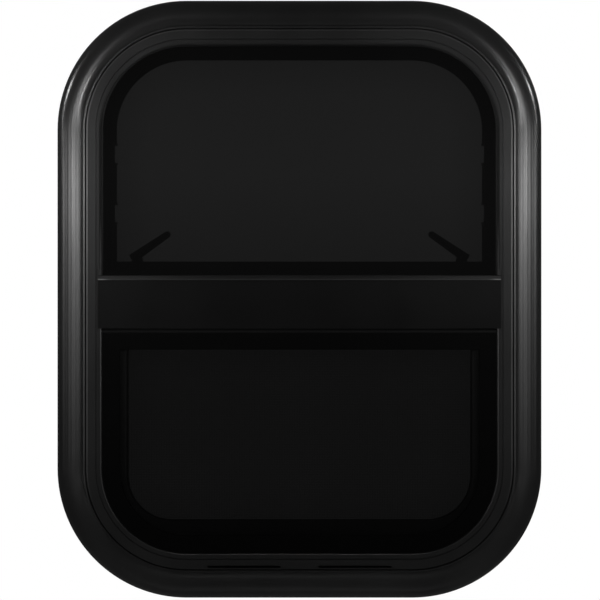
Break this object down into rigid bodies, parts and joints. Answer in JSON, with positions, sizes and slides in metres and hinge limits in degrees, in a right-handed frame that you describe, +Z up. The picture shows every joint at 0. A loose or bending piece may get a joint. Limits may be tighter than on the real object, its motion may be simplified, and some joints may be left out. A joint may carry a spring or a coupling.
{
  "type": "caravan window",
  "caption": "Round-cornered black caravan window with a fixed upper pane, an insect screen, a rising lower sash with latch levers, and an inner clamp ring.",
  "frame": {"origin": "on the flange's back face (the wall's outer face), at the middle of the bottom run, 8 mm over the window's bottom edge", "axes": "+Z up, +X to the right seen from outside, +Y into the vehicle; the outside of the window faces -Y"},
  "size_m": [0.4368, 0.046, 0.5388],
  "materials": {
    "black_coated_aluminium": "satin",
    "tinted_glass": "gloss",
    "black_rubber": "matte",
    "black_mesh": "matte",
    "black_nylon": "satin",
    "steel": "satin"
  },
  "bodies": {
    "window": {"outer_frame": "black_coated_aluminium", "track_ring": "black_coated_aluminium", "keeper_left": "black_nylon", "keeper_right": "black_nylon", "mid_rail": "black_coated_aluminium", "mid_rail_bead": "black_coated_aluminium", "meeting_seal": "black_rubber", "upper_glass": "tinted_glass", "upper_front_gasket": "black_rubber", "upper_rear_gasket": "black_rubber", "screen_frame": "black_coated_aluminium", "screen_mesh": "black_mesh", "screen_spline": "black_rubber", "sash_frame": "black_coated_aluminium", "sash_top_rail": "black_coated_aluminium", "sash_glass": "tinted_glass", "sash_gasket": "black_rubber", "sash_seal": "black_rubber", "clamp_ring": "black_coated_aluminium", "clamp_screws": "steel", "latch_base_left": "black_coated_aluminium", "latch_base_right": "black_coated_aluminium", "latch_pin_left": "steel", "latch_pin_right": "steel"},
    "left_latch": {"latch_lever_left": "black_nylon"},
    "right_latch": {"latch_lever_right": "black_nylon"}
  },
  "joints": [
    {"name": "left_latch_pivot", "type": "hinge", "parent": "window", "child": "left_latch", "pos_m": [-0.1471, 0.024, 0.2965], "axis": [0, -1, 0], "range_deg": [0, 28], "stiffness_Nm_per_rad": 0.02, "springref_deg": -20.05},
    {"name": "right_latch_pivot", "type": "hinge", "parent": "window", "child": "right_latch", "pos_m": [0.1471, 0.024, 0.2965], "axis": [0, 1, 0], "range_deg": [0, 28], "stiffness_Nm_per_rad": 0.02, "springref_deg": -20.05}
  ]
}
